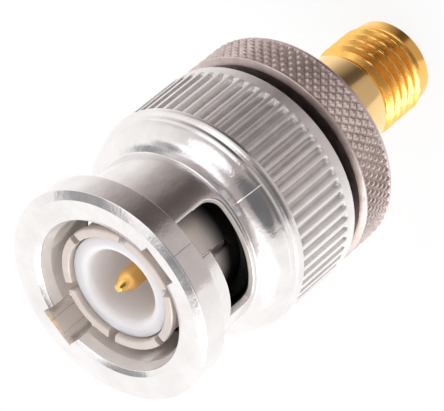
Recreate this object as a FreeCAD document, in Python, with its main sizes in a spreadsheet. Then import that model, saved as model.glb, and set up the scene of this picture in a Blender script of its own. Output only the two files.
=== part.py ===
import FreeCAD, Part
import math
import os
import Sketcher

# Coaxial adapter: bayonet plug with a coupling nut, and a threaded jack at the other end.
# It stands on the jack's end face, so heights run up the axis to the nut's rim.
# A depth is measured the other way, down from the rim, as on a drawing of the plug.

doc = FreeCAD.newDocument("RfAdapter")
sheet = doc.addObject("Spreadsheet::Sheet", "Sizes")

SIZES = {
    # spring ferrule and the room for the mating jack around it
    "tip_depth": 0.85,
    "insulator_gap": 0.1,
    "ferrule_wall": 0.43,
    "tip_step": 0.17,
    "tip_length": 0.9,
    "tip_rise": 0.4,
    "tip_chamfer": 0.12,
    "finger_count": 6,
    "finger_gap": 0.5,
    "finger_depth": 7.0,
    "ferrule_seat": 2.8,
    "shell_room": 0.92,
    "gasket_thickness": 0.5,
    "gasket_gap": 0.05,
    # plug insulator and pin
    "insulator_depth": 1.15,
    "insulator_diameter": 7.0,
    "insulator_bore": 4.9,
    "insulator_mouth": 0.28,
    "insulator_back": 1.9,
    "bore_depth": 7.2,
    "pin_depth": 1.0,
    "pin_diameter": 1.35,
    "pin_point": 0.5,
    "pin_taper": 0.9,
    "pin_shoulder": 2.1,
    "stub_diameter": 0.76,
    "stub_length": 2.0,
    # coupling nut, inside
    "mouth_lead": 0.27,
    "mouth_lead_depth": 0.7,
    "mouth_bevel": 0.35,
    "mouth_bevel_depth": 0.15,
    "cam_depth": 4.4,
    "recess_depth": 0.55,
    "recess_run": 1.65,
    "nut_stop_thickness": 0.9,
    # bayonet slots
    "slot_count": 2,
    "slot_width": 2.5,
    "slot_depth": 0.93,
    "slot_corner": 1.0,
    "entry_angle": 95,
    "window_turn": 62,
    "window_rise": 0.8,
    "window_height": 2.05,
    "window_corner": 0.7,
    # coupling nut, outside
    "neck_wall": 0.5,
    "flange_step": 1.25,
    "flange_length": 1.97,
    "rim_bevel_width": 0.6,
    "rim_bevel_height": 0.2,
    "shoulder_overlap": 0.4,
    "shoulder_angle": 45,
    "neck_blend": 1.2,
    "shoulder_round": 1.57,
    "band_step": 1.55,
    "band_length": 0.3,
    "groove_width": 0.15,
    "groove_height": 0.1,
    "bead_proud": 0.14,
    "bead_length": 0.55,
    "rib_proud": 0.07,
    "rib_count": 60,
    "rib_gap": 0.46,
    "rib_height": 0.28,
    "rear_band_length": 0.85,
    "nut_chamfer": 0.15,
    # running parts and springs
    "running_gap": 0.07,
    "seat_gap": 0.02,
    "collar_thickness": 1.0,
    "collar_step": 1.4,
    "shank_wall": 0.87,
    "spring_room": 2.4,
    "wave_count": 3,
    "wave_thickness": 0.25,
    "washer_thickness": 0.5,
    "snap_thickness": 0.7,
    "snap_width": 1.15,
    "snap_bite": 0.35,
    "snap_opening": 3.0,
    "snap_inset": 1.1,
    # rear ring
    "nut_gap": 1.1,
    "ring_length": 2.8,
    "ring_inset": 0.05,
    "ring_front_bevel": 0.45,
    "ring_bevel_height": 0.15,
    "ring_rear_chamfer": 0.3,
    "ring_wall": 0.9,
    "spigot_step": 0.4,
    # threaded jack
    "thread_diameter": 6.35,
    "thread_length": 3.4,
    "thread_lead": 0.25,
    "thread_depth": 0.425,
    "relief_length": 0.7,
    "jack_flange": 0.8,
    "neck_step": 0.025,
    "neck_length": 5.6,
    "land_step": 0.175,
    "land_taper": 0.05,
    "land_length": 0.9,
    "end_chamfer": 0.15,
    "jack_wall": 0.45,
    "jack_step": 0.25,
    "jack_face_depth": 1.9,
    "socket_diameter": 1.27,
    "socket_bore": 0.92,
    "socket_bore_depth": 3.0,
    "socket_slots": 2,
    "socket_slot": 0.2,
    "socket_slot_depth": 2.2,
}

for row, (alias, value) in enumerate(SIZES.items(), start=1):
    sheet.set("A%d" % row, alias)
    sheet.set("B%d" % row, str(value))
    sheet.setAlias("B%d" % row, alias)
doc.recompute()


def size(alias):
    return "Sizes." + alias


def half(alias):
    return "Sizes.%s / 2" % alias


def total(*terms):
    return "(" + " + ".join(terms) + ")"


def less(first, *terms):
    return "(" + " - ".join((first,) + terms) + ")"


def value_of(expression):
    """Number that an expression gives with the sheet's present values."""
    result = sheet.evalExpression(expression)
    return float(getattr(result, "Value", result))


# Stations shared by several pieces, as depths below the nut's rim
WINDOW_END = total(size("cam_depth"), size("window_height"))
BODY_FRONT = total(WINDOW_END, size("recess_run"))
FERRULE_END = total(BODY_FRONT, size("ferrule_seat"))
COLLAR_FRONT = total(BODY_FRONT, size("nut_stop_thickness"))
COLLAR_REAR = total(COLLAR_FRONT, size("collar_thickness"))
WASHER_FRONT = total(COLLAR_REAR, size("spring_room"))
SNAP_FRONT = total(WASHER_FRONT, size("washer_thickness"))
SNAP_REAR = total(SNAP_FRONT, size("snap_thickness"))
NUT_END = total(SNAP_REAR, size("snap_inset"))
RING_FRONT = total(NUT_END, size("nut_gap"))
RING_REAR = total(RING_FRONT, size("ring_length"))
SPIGOT_END = less(RING_REAR, size("ring_wall"), size("jack_flange"))
INSULATOR_END = less(SPIGOT_END, size("insulator_back"))
STUB_END = total(INSULATOR_END, size("stub_length"))
JACK_NECK_END = total(RING_REAR, size("neck_length"))
THREAD_START = total(JACK_NECK_END, size("relief_length"))
THREAD_END = total(THREAD_START, size("thread_length"))
JACK_END = total(THREAD_END, size("land_length"))
JACK_FACE = less(JACK_END, size("jack_face_depth"))

# Radii shared by several pieces, from the plug's insulator outwards
FERRULE_BORE = total(half("insulator_diameter"), size("insulator_gap"))
FERRULE_RADIUS = total(FERRULE_BORE, size("ferrule_wall"))
MOUTH_RADIUS = total(FERRULE_RADIUS, size("shell_room"))
RECESS_RADIUS = total(MOUTH_RADIUS, size("recess_depth"))
NECK_RADIUS = total(RECESS_RADIUS, size("neck_wall"))
BAND_RADIUS = total(NECK_RADIUS, size("band_step"))
SHANK_RADIUS = total(FERRULE_RADIUS, size("shank_wall"))
SPIGOT_RADIUS = less(SHANK_RADIUS, size("spigot_step"))
COLLAR_RADIUS = total(SHANK_RADIUS, size("collar_step"))
NUT_REAR_BORE = total(COLLAR_RADIUS, size("running_gap"))
NOSE_RADIUS = total(MOUTH_RADIUS, size("seat_gap"))
NUT_STOP_BORE = total(NOSE_RADIUS, size("running_gap"))
SNAP_OUTER = total(NUT_REAR_BORE, size("snap_bite"))
WASHER_INNER = total(SHANK_RADIUS, size("running_gap"))
FERRULE_SEAT = total(FERRULE_RADIUS, size("seat_gap"))
INSULATOR_SEAT = total(half("insulator_diameter"), size("seat_gap"))
SPIGOT_BORE = total(SPIGOT_RADIUS, size("seat_gap"))

# Radii of the jack, from its thread inwards
THREAD_RADIUS = half("thread_diameter")
JACK_NECK_RADIUS = less(THREAD_RADIUS, size("neck_step"))
RELIEF_RADIUS = less(THREAD_RADIUS, size("thread_depth"))
JACK_BORE = less(RELIEF_RADIUS, size("jack_wall"))
JACK_INSULATOR = less(JACK_BORE, size("jack_step"))
JACK_SEAT = total(JACK_INSULATOR, size("seat_gap"))

SKETCH_UP = FreeCAD.Vector(0, 1, 0)
Z_AXIS = FreeCAD.Vector(0, 0, 1)
NO_SHIFT = FreeCAD.Vector(0, 0, 0)


def origin_feature(body, role):
    for feature in body.Origin.OriginFeatures:
        if feature.Role == role:
            return feature
    raise RuntimeError("no origin feature " + role)


def new_body(label, lowest_depth):
    """Body whose own zero height lies at the given depth below the rim."""
    body = doc.addObject("PartDesign::Body", label)
    body.Label = label
    body.setExpression("Placement.Base.z", "%s - %s" % (JACK_END, lowest_depth))
    return body


def pin_coordinate(sketch, kind, geometry, point, expression):
    """Tie one coordinate of a sketch point to an expression, whatever its sign."""
    number = value_of(expression)
    if abs(number) < 1e-9:
        axis = -2 if kind == "DistanceX" else -1
        sketch.addConstraint(Sketcher.Constraint("PointOnObject", geometry, point, axis))
        return
    ends = (-1, 1, geometry, point)
    if number < 0:
        ends = (geometry, point, -1, 1)
        expression = "-(%s)" % expression
    index = sketch.addConstraint(Sketcher.Constraint(kind, *ends, abs(number)))
    sketch.setExpression("Constraints[%d]" % index, expression)


def add_run(sketch, start, finish, radius_expression):
    """Line, or arc that bends left for a positive radius. Returns geometry, first and last point."""
    if radius_expression is None:
        return sketch.addGeometry(Part.LineSegment(start, finish), False), 1, 2
    radius = value_of(radius_expression)
    chord = finish - start
    left = FreeCAD.Vector(-chord.y, chord.x, 0).normalize()
    rise = math.sqrt(max(radius * radius - chord.Length ** 2 / 4, 0))
    centre = (start + finish) * 0.5 + left * math.copysign(rise, radius)
    angles = [math.atan2(place.y - centre.y, place.x - centre.x) for place in (start, finish)]
    if radius < 0:
        angles.reverse()
    circle = Part.Circle(centre, Z_AXIS, abs(radius))
    geometry = sketch.addGeometry(Part.ArcOfCircle(circle, angles[0], angles[1]), False)
    limit = sketch.addConstraint(Sketcher.Constraint("Radius", geometry, abs(radius)))
    sketch.setExpression("Constraints[%d]" % limit, "abs(%s)" % radius_expression)
    return (geometry, 1, 2) if radius > 0 else (geometry, 2, 1)


def draw_outline(sketch, corners):
    """Closed outline. A corner is (x, y), or (x, y, radius) where an arc leads on to the next corner."""
    places = [FreeCAD.Vector(value_of(corner[0]), value_of(corner[1]), 0) for corner in corners]
    runs = []
    for index, corner in enumerate(corners):
        finish = places[(index + 1) % len(corners)]
        radius = corner[2] if len(corner) > 2 else None
        runs.append(add_run(sketch, places[index], finish, radius))
    for index, corner in enumerate(corners):
        geometry, first, last = runs[index]
        following = runs[(index + 1) % len(runs)]
        sketch.addConstraint(Sketcher.Constraint("Coincident", geometry, last, following[0], following[1]))
        pin_coordinate(sketch, "DistanceX", geometry, first, corner[0])
        pin_coordinate(sketch, "DistanceY", geometry, first, corner[1])


def new_sketch(body, name, corners, turn="0"):
    """Outline on the upright plane through the axis, turned about the axis."""
    sketch = body.newObject("Sketcher::SketchObject", name)
    sketch.AttachmentSupport = [(origin_feature(body, "XZ_Plane"), "")]
    sketch.MapMode = "FlatFace"
    sketch.AttachmentOffset = FreeCAD.Placement(NO_SHIFT, FreeCAD.Rotation(SKETCH_UP, value_of(turn)))
    draw_outline(sketch, corners)
    sketch.Visibility = False
    return sketch


def turn_profile(body, corners):
    """Solid of revolution from half a section, each corner (radius, height)."""
    sketch = new_sketch(body, "Section", corners)
    turned = body.newObject("PartDesign::Revolution", "Turned")
    turned.Profile = sketch
    turned.ReferenceAxis = (sketch, ["V_Axis"])
    turned.Angle = 360
    doc.recompute()
    return turned


def cut_outward(body, name, corners, reach, direction="0", start="0"):
    """Pocket drawn square to one direction, cut outward from a plane that distance from the axis.

    The direction is an angle about the axis from +X, and x in the outline runs anticlockwise.
    """
    sketch = new_sketch(body, name + "Outline", corners, "%s + 90" % direction)
    sketch.setExpression("AttachmentOffset.Base.x", "%s * cos(%s * 1 deg)" % (start, direction))
    sketch.setExpression("AttachmentOffset.Base.z", "-(%s) * sin(%s * 1 deg)" % (start, direction))
    pocket = body.newObject("PartDesign::Pocket", name)
    pocket.Profile = sketch
    pocket.Type = 0
    pocket.Reversed = True
    pocket.setExpression("Length", reach)
    doc.recompute()
    return pocket


def repeat_round(body, features, count):
    pattern = body.newObject("PartDesign::PolarPattern", features[0].Name + "Round")
    pattern.Originals = features
    pattern.Axis = (origin_feature(body, "Z_Axis"), [""])
    pattern.Angle = 360
    pattern.setExpression("Occurrences", count)
    body.Tip = pattern
    doc.recompute()
    return pattern


def heights_above(lowest_depth):
    """Function that turns a depth below the rim into a height above a piece's own zero."""
    return lambda depth: less(lowest_depth, "(%s)" % depth)


def round_window_ends(body, slots, end_angle, floor):
    """Round the blind corner of every cam window, where its end wall meets its rear edge."""
    spacing = 360 / value_of(size("slot_count"))
    names = []
    for number, edge in enumerate(slots.Shape.Edges, start=1):
        ends = [vertex.Point for vertex in edge.Vertexes]
        if len(ends) != 2 or max(abs(end.z - value_of(floor)) for end in ends) > 1e-4:
            continue
        turns = [math.degrees(math.atan2(end.y, end.x)) - value_of(end_angle) for end in ends]
        if all(abs((turn + spacing / 2) % spacing - spacing / 2) < 1e-3 for turn in turns):
            names.append("Edge%d" % number)
    corners = body.newObject("PartDesign::Fillet", "WindowCorners")
    corners.Base = (slots, names)
    corners.setExpression("Radius", "min(%s; %s / 3)" % (size("window_corner"), size("window_height")))
    doc.recompute()
    return corners


def make_coupling_nut():
    body = new_body("coupling_nut", NUT_END)
    height = heights_above(NUT_END)

    flange = total(NECK_RADIUS, size("flange_step"))
    bead = total(BAND_RADIUS, size("bead_proud"))
    rib = total(BAND_RADIUS, size("rib_proud"))
    chamfer = size("nut_chamfer")

    # The shoulder is a cone with a blend into the neck and a round into the band
    slope = "(%s * 1 deg)" % size("shoulder_angle")
    blend = "%s * tan(%s / 2)" % (size("neck_blend"), slope)
    round_run = "%s * tan(%s / 2)" % (size("shoulder_round"), slope)
    shoulder_start = less(WINDOW_END, size("shoulder_overlap"))
    crest = "(%s + %s / tan(%s))" % (shoulder_start, size("band_step"), slope)
    shoulder_end = total(crest, round_run)
    groove_start = total(shoulder_end, size("band_length"))
    bead_start = total(groove_start, size("groove_width"))
    rib_start = total(bead_start, size("bead_length"))
    rib_end = less(NUT_END, size("rear_band_length"))
    groove_floor = less(BAND_RADIUS, size("groove_height"))
    snap_groove = total(SNAP_OUTER, size("seat_gap"))
    mouth_edge = total(MOUTH_RADIUS, size("mouth_lead"))
    cone_start = total(shoulder_start, "%s * cos(%s)" % (blend, slope))
    cone_end = less(crest, "%s * cos(%s)" % (round_run, slope))

    turn_profile(body, [
        (MOUTH_RADIUS, height(total(size("mouth_bevel_depth"), size("mouth_lead_depth")))),
        (mouth_edge, height(size("mouth_bevel_depth"))),
        (total(mouth_edge, size("mouth_bevel")), height("0")),
        (less(flange, size("rim_bevel_width")), height("0")),
        (flange, height(size("rim_bevel_height"))),
        (flange, height(size("flange_length"))),
        (NECK_RADIUS, height(size("flange_length"))),
        (NECK_RADIUS, height(less(shoulder_start, blend)), size("neck_blend")),
        (total(NECK_RADIUS, "%s * sin(%s)" % (blend, slope)), height(cone_start)),
        (
            less(BAND_RADIUS, "%s * sin(%s)" % (round_run, slope)),
            height(cone_end),
            "-" + size("shoulder_round"),
        ),
        (BAND_RADIUS, height(shoulder_end)),
        (BAND_RADIUS, height(groove_start)),
        (groove_floor, height(groove_start)),
        (groove_floor, height(bead_start)),
        (bead, height(bead_start)),
        (bead, height(rib_start)),
        (rib, height(rib_start)),
        (rib, height(rib_end)),
        (BAND_RADIUS, height(rib_end)),
        (BAND_RADIUS, chamfer),
        (less(BAND_RADIUS, chamfer), "0"),
        (NUT_REAR_BORE, "0"),
        (NUT_REAR_BORE, height(SNAP_REAR)),
        (snap_groove, height(SNAP_REAR)),
        (snap_groove, height(less(SNAP_FRONT, size("seat_gap")))),
        (NUT_REAR_BORE, height(less(SNAP_FRONT, size("seat_gap")))),
        (NUT_REAR_BORE, height(COLLAR_FRONT)),
        (NUT_STOP_BORE, height(COLLAR_FRONT)),
        (NUT_STOP_BORE, height(BODY_FRONT)),
        (RECESS_RADIUS, height(BODY_FRONT)),
        (RECESS_RADIUS, height(size("cam_depth"))),
        (MOUTH_RADIUS, height(size("cam_depth"))),
    ])

    # Stud slot across the rim, its far corner rounded on the side away from the cam
    side = half("slot_width")
    floor = height(WINDOW_END)
    above_rim = total(NUT_END, size("rim_bevel_width"))
    slot_floor = total(MOUTH_RADIUS, size("slot_depth"))
    direction = "-" + size("entry_angle")

    def entry_outline(top):
        return [
            ("-(%s)" % side, floor),
            (less(side, size("slot_corner")), floor, size("slot_corner")),
            (side, total(floor, size("slot_corner"))),
            (side, top),
            ("-(%s)" % side, top),
        ]

    entry = cut_outward(body, "StudEntry", entry_outline(above_rim), slot_floor, direction)
    behind_flange = height(size("flange_length"))
    opening = cut_outward(body, "NeckOpening", entry_outline(behind_flange), flange, direction)

    # Cam window: a ramp that climbs towards the rim, and a level rear edge
    end_angle = "-(%s + %s)" % (size("entry_angle"), size("window_turn"))
    inside = less(MOUTH_RADIUS, size("rim_bevel_width"))
    outside = total(flange, size("rim_bevel_width"))
    ramp = new_sketch(body, "RampSection", [
        (inside, height(WINDOW_END)),
        (outside, height(WINDOW_END)),
        (outside, height(size("cam_depth"))),
        (inside, height(size("cam_depth"))),
    ], end_angle)
    cam = body.newObject("PartDesign::SubtractiveHelix", "CamRamp")
    cam.Profile = ramp
    cam.ReferenceAxis = (ramp, ["V_Axis"])
    cam.Mode = 0
    cam.setExpression("Pitch", "%s * 360 / %s" % (size("window_rise"), size("window_turn")))
    cam.setExpression("Height", size("window_rise"))
    doc.recompute()
    level = new_sketch(body, "LevelSection", [
        (inside, height(WINDOW_END)),
        (outside, height(WINDOW_END)),
        (outside, height(total(size("cam_depth"), size("window_rise")))),
        (inside, height(total(size("cam_depth"), size("window_rise")))),
    ], end_angle)
    rear_edge = body.newObject("PartDesign::Groove", "LevelEdge")
    rear_edge.Profile = level
    rear_edge.ReferenceAxis = (level, ["V_Axis"])
    rear_edge.setExpression("Angle", size("window_turn"))
    doc.recompute()
    slots = repeat_round(body, [entry, opening, cam, rear_edge], size("slot_count"))
    round_window_ends(body, slots, end_angle, floor)

    # Valleys between the grip ribs, from the bead to the rear band
    gap = half("rib_gap")
    low = height(rib_end)
    valley = cut_outward(body, "RibValley", [
        ("-(%s)" % gap, low),
        (gap, low),
        (gap, height(rib_start)),
        ("-(%s)" % gap, height(rib_start)),
    ], total(size("rib_height"), size("rib_height")), "0", less(rib, size("rib_height")))
    repeat_round(body, [valley], size("rib_count"))
    return body


def make_front_body():
    body = new_body("front_body", SPIGOT_END)
    height = heights_above(SPIGOT_END)
    turn_profile(body, [
        (FERRULE_SEAT, height(BODY_FRONT)),
        (NOSE_RADIUS, height(BODY_FRONT)),
        (NOSE_RADIUS, height(COLLAR_FRONT)),
        (COLLAR_RADIUS, height(COLLAR_FRONT)),
        (COLLAR_RADIUS, height(COLLAR_REAR)),
        (SHANK_RADIUS, height(COLLAR_REAR)),
        (SHANK_RADIUS, height(RING_FRONT)),
        (SPIGOT_RADIUS, height(RING_FRONT)),
        (SPIGOT_RADIUS, "0"),
        (JACK_SEAT, "0"),
        (JACK_SEAT, height(INSULATOR_END)),
        (INSULATOR_SEAT, height(INSULATOR_END)),
        (INSULATOR_SEAT, height(FERRULE_END)),
        (FERRULE_SEAT, height(FERRULE_END)),
    ])
    return body


def make_rear_body():
    body = new_body("rear_body", RING_REAR)
    height = heights_above(RING_REAR)
    outer = less(BAND_RADIUS, size("ring_inset"))
    neck_hole = total(JACK_NECK_RADIUS, size("seat_gap"))
    turn_profile(body, [
        (SPIGOT_BORE, height(RING_FRONT)),
        (less(outer, size("ring_front_bevel")), height(RING_FRONT)),
        (outer, height(total(RING_FRONT, size("ring_bevel_height")))),
        (outer, size("ring_rear_chamfer")),
        (less(outer, size("ring_rear_chamfer")), "0"),
        (neck_hole, "0"),
        (neck_hole, size("ring_wall")),
        (SPIGOT_BORE, size("ring_wall")),
    ])
    return body


def make_outer_contact():
    body = new_body("outer_contact", FERRULE_END)
    height = heights_above(FERRULE_END)
    tip = total(FERRULE_RADIUS, size("tip_step"))
    tip_end = height(size("tip_depth"))
    turn_profile(body, [
        (FERRULE_BORE, "0"),
        (FERRULE_RADIUS, "0"),
        (FERRULE_RADIUS, less(tip_end, size("tip_length"))),
        (tip, less(tip_end, size("tip_rise"))),
        (tip, less(tip_end, size("tip_chamfer"))),
        (less(tip, size("tip_chamfer")), tip_end),
        (total(FERRULE_BORE, size("tip_chamfer")), tip_end),
        (FERRULE_BORE, less(tip_end, size("tip_chamfer"))),
    ])
    gap = half("finger_gap")
    root = height(size("finger_depth"))
    slot = cut_outward(body, "FingerGap", [
        ("-(%s)" % gap, root),
        (gap, root),
        (gap, total(tip_end, size("tip_rise"))),
        ("-(%s)" % gap, total(tip_end, size("tip_rise"))),
    ], total(tip, size("tip_rise")))
    repeat_round(body, [slot], size("finger_count"))
    return body


def make_interface_gasket():
    body = new_body("interface_gasket", BODY_FRONT)
    outer = less(MOUTH_RADIUS, size("gasket_gap"))
    turn_profile(body, [
        (FERRULE_SEAT, "0"),
        (outer, "0"),
        (outer, size("gasket_thickness")),
        (FERRULE_SEAT, size("gasket_thickness")),
    ])
    return body


def make_bnc_insulator():
    body = new_body("bnc_insulator", INSULATOR_END)
    height = heights_above(INSULATOR_END)
    outer = half("insulator_diameter")
    bore = half("insulator_bore")
    front = height(size("insulator_depth"))
    pin_hole = total(half("pin_shoulder"), size("seat_gap"))
    turn_profile(body, [
        (pin_hole, "0"),
        (outer, "0"),
        (outer, less(front, size("tip_chamfer"))),
        (less(outer, size("tip_chamfer")), front),
        (total(bore, size("insulator_mouth")), front),
        (bore, less(front, size("insulator_mouth"))),
        (bore, height(size("bore_depth"))),
        (pin_hole, height(size("bore_depth"))),
    ])
    return body


def make_bnc_pin():
    body = new_body("bnc_pin", STUB_END)
    height = heights_above(STUB_END)
    tip = height(size("pin_depth"))
    turn_profile(body, [
        ("0", "0"),
        (half("stub_diameter"), "0"),
        (half("stub_diameter"), size("stub_length")),
        (half("pin_shoulder"), size("stub_length")),
        (half("pin_shoulder"), height(size("bore_depth"))),
        (half("pin_diameter"), height(size("bore_depth"))),
        (half("pin_diameter"), less(tip, size("pin_taper"))),
        (half("pin_point"), tip),
        ("0", tip),
    ])
    return body


def make_sma_body():
    body = new_body("sma_body", JACK_END)
    height = heights_above(JACK_END)
    land = less(THREAD_RADIUS, size("land_step"))
    land_end = less(land, size("land_taper"))
    bore_step = size("jack_face_depth")
    flange_top = height(SPIGOT_END)
    turn_profile(body, [
        (JACK_BORE, "0"),
        (less(land_end, size("end_chamfer")), "0"),
        (land_end, size("end_chamfer")),
        (land, height(THREAD_END)),
        (THREAD_RADIUS, total(height(THREAD_END), size("thread_lead"))),
        (THREAD_RADIUS, height(THREAD_START)),
        (RELIEF_RADIUS, height(THREAD_START)),
        (RELIEF_RADIUS, height(JACK_NECK_END)),
        (JACK_NECK_RADIUS, height(JACK_NECK_END)),
        (JACK_NECK_RADIUS, less(flange_top, size("jack_flange"))),
        (SPIGOT_RADIUS, less(flange_top, size("jack_flange"))),
        (SPIGOT_RADIUS, flange_top),
        (JACK_SEAT, flange_top),
        (JACK_SEAT, bore_step),
        (JACK_BORE, bore_step),
    ])
    return body


def make_sma_insulator():
    body = new_body("sma_insulator", JACK_FACE)
    height = heights_above(JACK_FACE)
    hole = total(half("socket_diameter"), size("seat_gap"))
    turn_profile(body, [
        (hole, "0"),
        (JACK_INSULATOR, "0"),
        (JACK_INSULATOR, height(INSULATOR_END)),
        (hole, height(INSULATOR_END)),
    ])
    return body


def make_sma_socket():
    body = new_body("sma_socket", JACK_FACE)
    height = heights_above(JACK_FACE)
    top = height(INSULATOR_END)
    stub_hole = total(half("stub_diameter"), size("seat_gap"))
    stub_floor = less(height(STUB_END), size("seat_gap"))
    outer = half("socket_diameter")
    turn_profile(body, [
        (half("socket_bore"), "0"),
        (outer, "0"),
        (outer, top),
        (stub_hole, top),
        (stub_hole, stub_floor),
        ("0", stub_floor),
        ("0", size("socket_bore_depth")),
        (half("socket_bore"), size("socket_bore_depth")),
    ])
    gap = half("socket_slot")
    slot = cut_outward(body, "SocketSlot", [
        ("-(%s)" % gap, "-(%s)" % gap),
        (gap, "-(%s)" % gap),
        (gap, size("socket_slot_depth")),
        ("-(%s)" % gap, size("socket_slot_depth")),
    ], size("socket_diameter"))
    repeat_round(body, [slot], size("socket_slots"))
    return body


def make_thrust_washer():
    body = new_body("thrust_washer", SNAP_FRONT)
    turn_profile(body, [
        (WASHER_INNER, "0"),
        (COLLAR_RADIUS, "0"),
        (COLLAR_RADIUS, size("washer_thickness")),
        (WASHER_INNER, size("washer_thickness")),
    ])
    return body


def make_snap_ring():
    body = new_body("snap_ring", SNAP_REAR)
    inner = less(SNAP_OUTER, size("snap_width"))
    turn_profile(body, [
        (inner, "0"),
        (SNAP_OUTER, "0"),
        (SNAP_OUTER, size("snap_thickness")),
        (inner, size("snap_thickness")),
    ])
    gap = half("snap_opening")
    below = "-(%s)" % size("snap_thickness")
    above = total(size("snap_thickness"), size("snap_thickness"))
    cut_outward(body, "Opening", [
        ("-(%s)" % gap, below),
        (gap, below),
        (gap, above),
        ("-(%s)" % gap, above),
    ], total(SNAP_OUTER, size("snap_width")))
    return body


def wave_edge(radius, middle, swing, waves, steps_per_wave=4):
    """Closed smooth wave round the axis."""
    count = int(waves) * steps_per_wave
    points = []
    for step in range(count):
        angle = 2 * math.pi * step / count
        lift = middle + swing * math.cos(waves * angle)
        points.append(FreeCAD.Vector(radius * math.cos(angle), radius * math.sin(angle), lift))
    curve = Part.BSplineCurve()
    curve.interpolate(points, PeriodicFlag=True)
    return curve.toShape()


def make_wave_washer(label, share_below):
    """One of two wave springs that fill the room between collar and thrust washer, half each."""
    room = value_of(size("spring_room")) / 2
    gap = value_of(size("seat_gap"))
    thickness = value_of(size("wave_thickness"))
    swing = (room - thickness) / 2 - gap
    waves = value_of(size("wave_count"))
    radii = (value_of(WASHER_INNER) + gap, value_of(COLLAR_RADIUS) - gap)
    inner, outer = [wave_edge(radius, gap + swing, swing, waves) for radius in radii]
    inner_top, outer_top = [edge.translated(FreeCAD.Vector(0, 0, thickness)) for edge in (inner, outer)]
    sides = [(inner, outer), (outer, outer_top), (outer_top, inner_top), (inner_top, inner)]
    skin = Part.Shell([Part.makeRuledSurface(*side) for side in sides])
    washer = doc.addObject("Part::Feature", label)
    washer.Label = label
    washer.Shape = Part.Solid(skin)
    floor = value_of(less(JACK_END, WASHER_FRONT)) + share_below * room
    washer.Placement = FreeCAD.Placement(FreeCAD.Vector(0, 0, floor), FreeCAD.Rotation())
    return washer


pieces = [
    make_coupling_nut(),
    make_front_body(),
    make_rear_body(),
    make_outer_contact(),
    make_interface_gasket(),
    make_bnc_insulator(),
    make_bnc_pin(),
    make_sma_body(),
    make_sma_insulator(),
    make_sma_socket(),
    make_thrust_washer(),
    make_snap_ring(),
    make_wave_washer("rear_wave_washer", 0),
    make_wave_washer("front_wave_washer", 1),
]
doc.recompute()

for item in doc.Objects:
    for fault in ("Invalid", "Error"):
        if fault in item.State:
            raise RuntimeError("%s is %s" % (item.Label, fault))

os.makedirs("parts", exist_ok=True)
for piece in pieces:
    shape = piece.Shape
    if shape.isNull() or not shape.isValid() or len(shape.Solids) != 1:
        raise RuntimeError("%s is not one sound solid" % piece.Label)
    print("%-20s %9.3f mm3  %7.3f to %7.3f" % (
        piece.Label, shape.Volume, shape.BoundBox.ZMin, shape.BoundBox.ZMax))
for piece in pieces:
    piece.Shape.exportStep("parts/%s.step" % piece.Label)
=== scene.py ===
import math

import bmesh
import bpy
from mathutils import Matrix, Vector


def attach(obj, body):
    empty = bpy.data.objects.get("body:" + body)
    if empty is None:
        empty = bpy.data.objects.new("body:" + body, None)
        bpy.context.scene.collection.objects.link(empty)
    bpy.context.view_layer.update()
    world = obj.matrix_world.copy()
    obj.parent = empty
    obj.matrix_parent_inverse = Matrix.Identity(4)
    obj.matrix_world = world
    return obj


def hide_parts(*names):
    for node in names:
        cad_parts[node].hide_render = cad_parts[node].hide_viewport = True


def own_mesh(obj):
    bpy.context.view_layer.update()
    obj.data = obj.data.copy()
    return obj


# Coaxial adapter: a bayonet plug with a die-cast coupling nut, and a gold threaded jack.
# Sizes are in millimetres. A depth is measured down the axis from the nut's rim, and a bearing
# runs round the axis the way the camera sees it, so bearing 90 faces the camera.

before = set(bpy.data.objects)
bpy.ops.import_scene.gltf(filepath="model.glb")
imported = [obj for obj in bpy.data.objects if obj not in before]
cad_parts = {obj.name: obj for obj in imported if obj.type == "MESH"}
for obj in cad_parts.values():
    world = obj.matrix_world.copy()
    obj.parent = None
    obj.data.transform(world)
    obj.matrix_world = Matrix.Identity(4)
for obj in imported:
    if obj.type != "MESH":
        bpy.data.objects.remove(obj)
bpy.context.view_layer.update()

MM = 0.001
RIM = 29.2
FULL_TURN = 360.0
ARC_STEP = math.radians(9)


# Points, outlines and meshes

def at(radius, bearing, depth):
    """Point on the object, in metres, from its radius, bearing and depth."""
    turn = math.radians(-bearing)
    return Vector((radius * math.cos(turn), radius * math.sin(turn), RIM - depth)) * MM


def rounded(corners, steps=4):
    """Closed outline of points from corners, each (radius, depth) or (radius, depth, round)."""
    outline = []
    for index, corner in enumerate(corners):
        here = Vector(corner[:2])
        round_size = corner[2] if len(corner) > 2 else 0
        if not round_size:
            outline.append(here)
            continue
        before = (Vector(corners[index - 1][:2]) - here).normalized()
        after = (Vector(corners[(index + 1) % len(corners)][:2]) - here).normalized()
        half_angle = before.angle(after) / 2
        reach = round_size / math.tan(half_angle)
        centre = here + (before + after).normalized() * round_size / math.sin(half_angle)
        first = here + before * reach - centre
        last = here + after * reach - centre
        sweep = first.angle(last)
        count = max(steps, int(sweep / ARC_STEP))
        for step in range(count + 1):
            share = step / count
            blend = first * math.sin((1 - share) * sweep) + last * math.sin(share * sweep)
            outline.append(centre + blend / math.sin(sweep))
    return outline


def divided(outline, longest, span):
    """The outline with its long runs between the span's two depths cut up."""
    points = []
    for index, here in enumerate(outline):
        following = outline[(index + 1) % len(outline)]
        points.append(here)
        if span[0] <= (here.y + following.y) / 2 <= span[1]:
            count = int((following - here).length / longest)
            points += [here.lerp(following, step / (count + 1)) for step in range(1, count + 1)]
    return points


def even_bearings(count):
    return [FULL_TURN * step / count for step in range(count)]


def make_object(name, vertices, faces):
    mesh = bpy.data.meshes.new(name)
    mesh.from_pydata([tuple(vertex) for vertex in vertices], [], faces)
    mesh.update()
    piece = bpy.data.objects.new(name, mesh)
    bpy.context.scene.collection.objects.link(piece)
    return piece


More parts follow.
